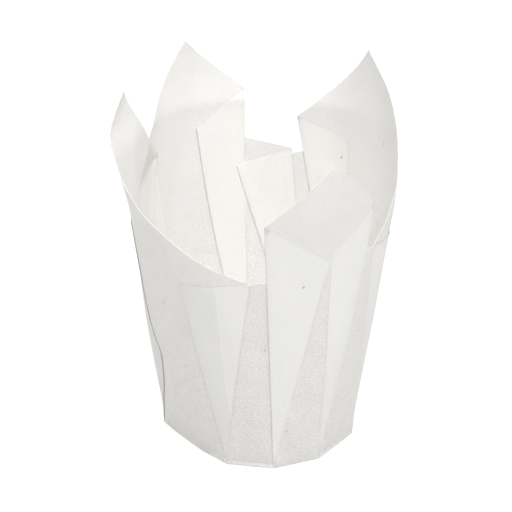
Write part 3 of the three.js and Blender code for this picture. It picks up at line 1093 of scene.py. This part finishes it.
    @staticmethod
    def _normals(points: Array, triangles: Array) -> Array:
        """Directions square to the sheet: face normals added up by each corner's angle."""
        p = points[triangles]
        face = np.cross(p[:, 1] - p[:, 0], p[:, 2] - p[:, 0])
        face /= np.maximum(np.linalg.norm(face, axis=1, keepdims=True), 1e-12)
        normals = np.zeros_like(points)
        for k in range(3):
            to = p[:, (k + 1) % 3] - p[:, k]
            back = p[:, (k + 2) % 3] - p[:, k]
            size = np.linalg.norm(to, axis=1) * np.linalg.norm(back, axis=1)
            angle = np.arccos(np.clip((to * back).sum(1) / np.maximum(size, 1e-12), -1, 1))
            np.add.at(normals, triangles[:, k], face * angle[:, None])
        return normals / np.maximum(np.linalg.norm(normals, axis=1, keepdims=True), 1e-12)

    def build(self) -> bpy.types.Object:
        """The sheet as a closed solid: both skins, half the paper's thickness out, and its edge.

        Returns:
            The object, at the origin and in metres.
        """
        points, triangles, rim, attributes = self.middle()
        offset = self._normals(points, triangles) * self.paper / 2
        skins = np.concatenate([points + offset, points - offset])
        skins[:, 2] = np.maximum(skins[:, 2], 0)
        count = len(points)
        along = np.roll(rim, -1)
        edge = np.concatenate(
            [
                np.stack([rim, along, along + count], 1),
                np.stack([rim, along + count, rim + count], 1),
            ]
        )
        faces = np.concatenate([triangles, triangles[:, ::-1] + count, edge])
        mesh = bpy.data.meshes.new("pressed_sheet")
        mesh.from_pydata((skins * MM).tolist(), [], faces.tolist())
        for name, values in attributes.items():
            kind = "FLOAT_VECTOR" if values.ndim == 2 else "FLOAT"
            layer = mesh.attributes.new(name, kind, "POINT")
            both = np.concatenate([values, values]).astype(np.float32)
            layer.data.foreach_set("vector" if values.ndim == 2 else "value", both.ravel())
        slots = np.zeros(len(faces), dtype=np.int32)
        slots[-len(edge):] = 1
        mesh.materials.append(Greaseproof().material())
        mesh.materials.append(CutEdge().material())
        mesh.polygons.foreach_set("material_index", slots)
        mesh.polygons.foreach_set("use_smooth", np.ones(len(faces), dtype=bool))
        mesh.update()
        mesh.set_sharp_from_angle(angle=38 * RAD)
        piece = bpy.data.objects.new("pressed_sheet", mesh)
        bpy.context.scene.collection.objects.link(piece)
        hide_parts("folded_sheet")
        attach(piece, "root")
        log.info("%s: %d faces", piece.name, len(faces))
        return piece


# Camera, floor and light


@dataclass(frozen=True)
class Lamp:
    """A round soft lamp, aimed at the middle of the cup."""

    name: str
    power: float
    place: tuple[float, float, float]
    size: float

    def build(self) -> bpy.types.Object:
        """The lamp's object."""
        data = bpy.data.lights.new(self.name, "AREA")
        data.shape = "DISK"
        data.size = self.size
        data.energy = self.power
        lamp = bpy.data.objects.new(self.name, data)
        bpy.context.scene.collection.objects.link(lamp)
        back = np.array(self.place) - np.array([0, 0, 0.045])
        back /= np.linalg.norm(back)
        right = np.cross([0, 0, 1], back)
        right /= np.linalg.norm(right)
        pose = np.eye(4)
        pose[:3, 0], pose[:3, 1] = right, np.cross(back, right)
        pose[:3, 2], pose[:3, 3] = back, self.place
        lamp.matrix_world = Matrix(pose.tolist())
        return lamp


LAMPS = (
    Lamp("lamp_above", 7.0, (0.12, -0.42, 0.83), 0.6),
    Lamp("lamp_right", 0.15, (0.72, -0.36, 0.48), 0.45),
)


@dataclass(frozen=True)
class Studio:
    """The camera, the pale floor and the soft light."""

    aim_height: float = 0.040
    elevation: float = 22.55
    distance: float = 0.5578
    roll: float = -0.21
    lens: float = 148.55
    shift: tuple[float, float] = (-0.0029, 0.0657)
    sky: float = 0.95

    def camera(self) -> bpy.types.Object:
        """The camera, in front of the cup and a little above it."""
        e, roll = self.elevation * RAD, self.roll * RAD
        back = np.array([0, -math.cos(e), math.sin(e)])
        right = np.array([1.0, 0, 0])
        up = np.cross(back, right)
        right, up = (
            math.cos(roll) * right + math.sin(roll) * up,
            math.cos(roll) * up - math.sin(roll) * right,
        )
        data = bpy.data.cameras.new("camera")
        data.sensor_width = 36
        data.lens = self.lens
        data.shift_x, data.shift_y = self.shift
        data.clip_start, data.clip_end = 0.01, 20
        cam = bpy.data.objects.new("camera", data)
        bpy.context.scene.collection.objects.link(cam)
        place = np.array([0, 0, self.aim_height]) + back * self.distance
        pose = np.eye(4)
        pose[:3, 0], pose[:3, 1], pose[:3, 2], pose[:3, 3] = right, up, back, place
        cam.matrix_world = Matrix(pose.tolist())
        bpy.context.scene.camera = cam
        return cam

    def floor(self) -> bpy.types.Object:
        """A wide white floor that keeps a faint shadow."""
        x, y = np.meshgrid([-4.0, 4.0], [-4.0, 4.0])
        corners = np.stack([x.ravel(), y.ravel(), np.full(4, -0.00005)], 1)
        mesh = bpy.data.meshes.new("floor")
        mesh.from_pydata(corners.tolist(), [], [(0, 1, 3, 2)])
        g = Graph("floor_white")
        path = g.node("ShaderNodeLightPath", {}, {})
        seen = g.out(path, "Is Camera Ray") + g.out(path, "Is Glossy Ray")
        seen = seen + g.out(path, "Is Transmission Ray")
        plain = g.node("ShaderNodeBsdfDiffuse", {}, {"Color": (0.55, 0.55, 0.55, 1)})
        shadow = g.node("ShaderNodeBsdfDiffuse", {}, {"Color": (0.24, 0.24, 0.24, 1)})
        white = g.node("ShaderNodeEmission", {}, {"Color": (1, 1, 1, 1), "Strength": 0.84})
        both = g.node("ShaderNodeAddShader", {}, {0: shadow.outputs[0], 1: white.outputs[0]})
        mixed = g.node(
            "ShaderNodeMixShader", {}, {0: seen, 1: plain.outputs[0], 2: both.outputs[0]}
        )
        mesh.materials.append(g.finish(mixed.outputs[0]))
        floor = bpy.data.objects.new("floor", mesh)
        bpy.context.scene.collection.objects.link(floor)
        return floor

    def light(self) -> None:
        """An even white sky and the lamps."""
        world = bpy.data.worlds.new("sky")
        world.use_nodes = True
        tree = world.node_tree
        tree.nodes.clear()
        path = tree.nodes.new("ShaderNodeLightPath")
        soft = tree.nodes.new("ShaderNodeBackground")
        soft.inputs["Strength"].default_value = self.sky
        soft.inputs["Color"].default_value = (1, 1, 1, 1)
        white = tree.nodes.new("ShaderNodeBackground")
        white.inputs["Color"].default_value = (1, 1, 1, 1)
        mixed = tree.nodes.new("ShaderNodeMixShader")
        tree.links.new(path.outputs["Is Camera Ray"], mixed.inputs[0])
        tree.links.new(soft.outputs[0], mixed.inputs[1])
        tree.links.new(white.outputs[0], mixed.inputs[2])
        end = tree.nodes.new("ShaderNodeOutputWorld")
        tree.links.new(mixed.outputs[0], end.inputs[0])
        bpy.context.scene.world = world
        for lamp in LAMPS:
            lamp.build()


def main() -> None:
    """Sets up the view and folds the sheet."""
    logging.basicConfig(level=logging.INFO, format="%(name)s: %(message)s")
    bpy.context.scene.view_settings.view_transform = "Standard"
    studio = Studio()
    studio.camera()
    studio.floor()
    studio.light()
    FoldedSheet().build()
    bpy.context.view_layer.update()
    log.info("sizes written")


if __name__ == "__main__":
    main()
